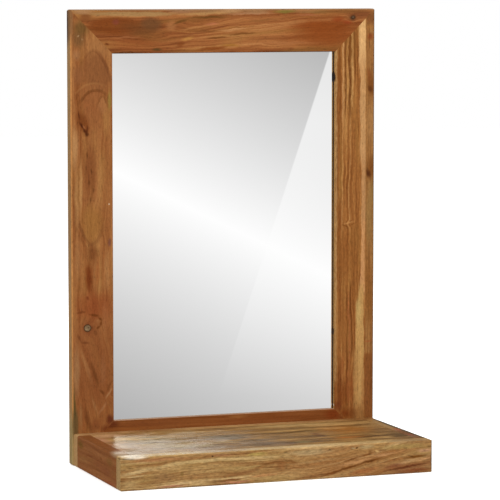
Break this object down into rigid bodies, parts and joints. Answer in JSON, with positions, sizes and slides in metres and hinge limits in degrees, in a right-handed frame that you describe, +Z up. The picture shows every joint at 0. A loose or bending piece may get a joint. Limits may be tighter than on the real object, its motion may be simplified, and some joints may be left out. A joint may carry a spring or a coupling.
{
  "type": "mirror with shelf",
  "caption": "Upright rectangular wall mirror in a wide mitred solid wood frame, with a deep boxed wooden shelf across its foot and keyhole hangers let into its back.",
  "frame": {"origin": "middle of the flat back of the frame, on the wall plane", "axes": "+X to the right as seen from the front, +Y out of the back into the wall, +Z up"},
  "size_m": [0.5, 0.258, 0.7],
  "materials": {
    "top_rail_wood": "warm red-brown acacia, satin lacquer",
    "bottom_rail_wood": "dark red-brown acacia, satin lacquer",
    "left_stile_wood": "orange-brown acacia with swirling figure and a knot, satin lacquer",
    "right_stile_wood": "golden brown straight-grained acacia, satin lacquer",
    "shelf_front_wood": "ochre acacia with long lines, satin lacquer",
    "shelf_back_wood": "tan acacia, satin lacquer",
    "shelf_end_wood": "deep red-brown acacia, satin lacquer",
    "shelf_top_wood": "brown acacia, glossy lacquer",
    "plain_wood": "unfinished pale wood",
    "silvered_glass": "clear silvered glass",
    "foam": "white closed-cell foam",
    "fibreboard": "plain brown fibreboard",
    "zinc_steel": "zinc-plated",
    "plate_steel": "zinc-plated, brushed"
  },
  "bodies": {
    "root": {"top_rail": "top_rail_wood", "bottom_rail": "bottom_rail_wood", "left_stile": "left_stile_wood", "right_stile": "right_stile_wood", "mitre_biscuits": "plain_wood", "mirror_glass": "silvered_glass", "foam_sheet": "foam", "backing_panel": "fibreboard", "panel_screws": "zinc_steel", "left_hanger_plate": "plate_steel", "right_hanger_plate": "plate_steel", "hanger_screws": "zinc_steel", "shelf_front_board": "shelf_front_wood", "shelf_back_board": "shelf_back_wood", "shelf_left_end": "shelf_end_wood", "shelf_right_end": "shelf_end_wood", "shelf_top_board": "shelf_top_wood", "shelf_front_cleat": "plain_wood", "shelf_back_cleat": "plain_wood", "shelf_dowels": "plain_wood", "cleat_screws": "zinc_steel", "shelf_screws_set": "zinc_steel"}
  },
  "joints": []
}
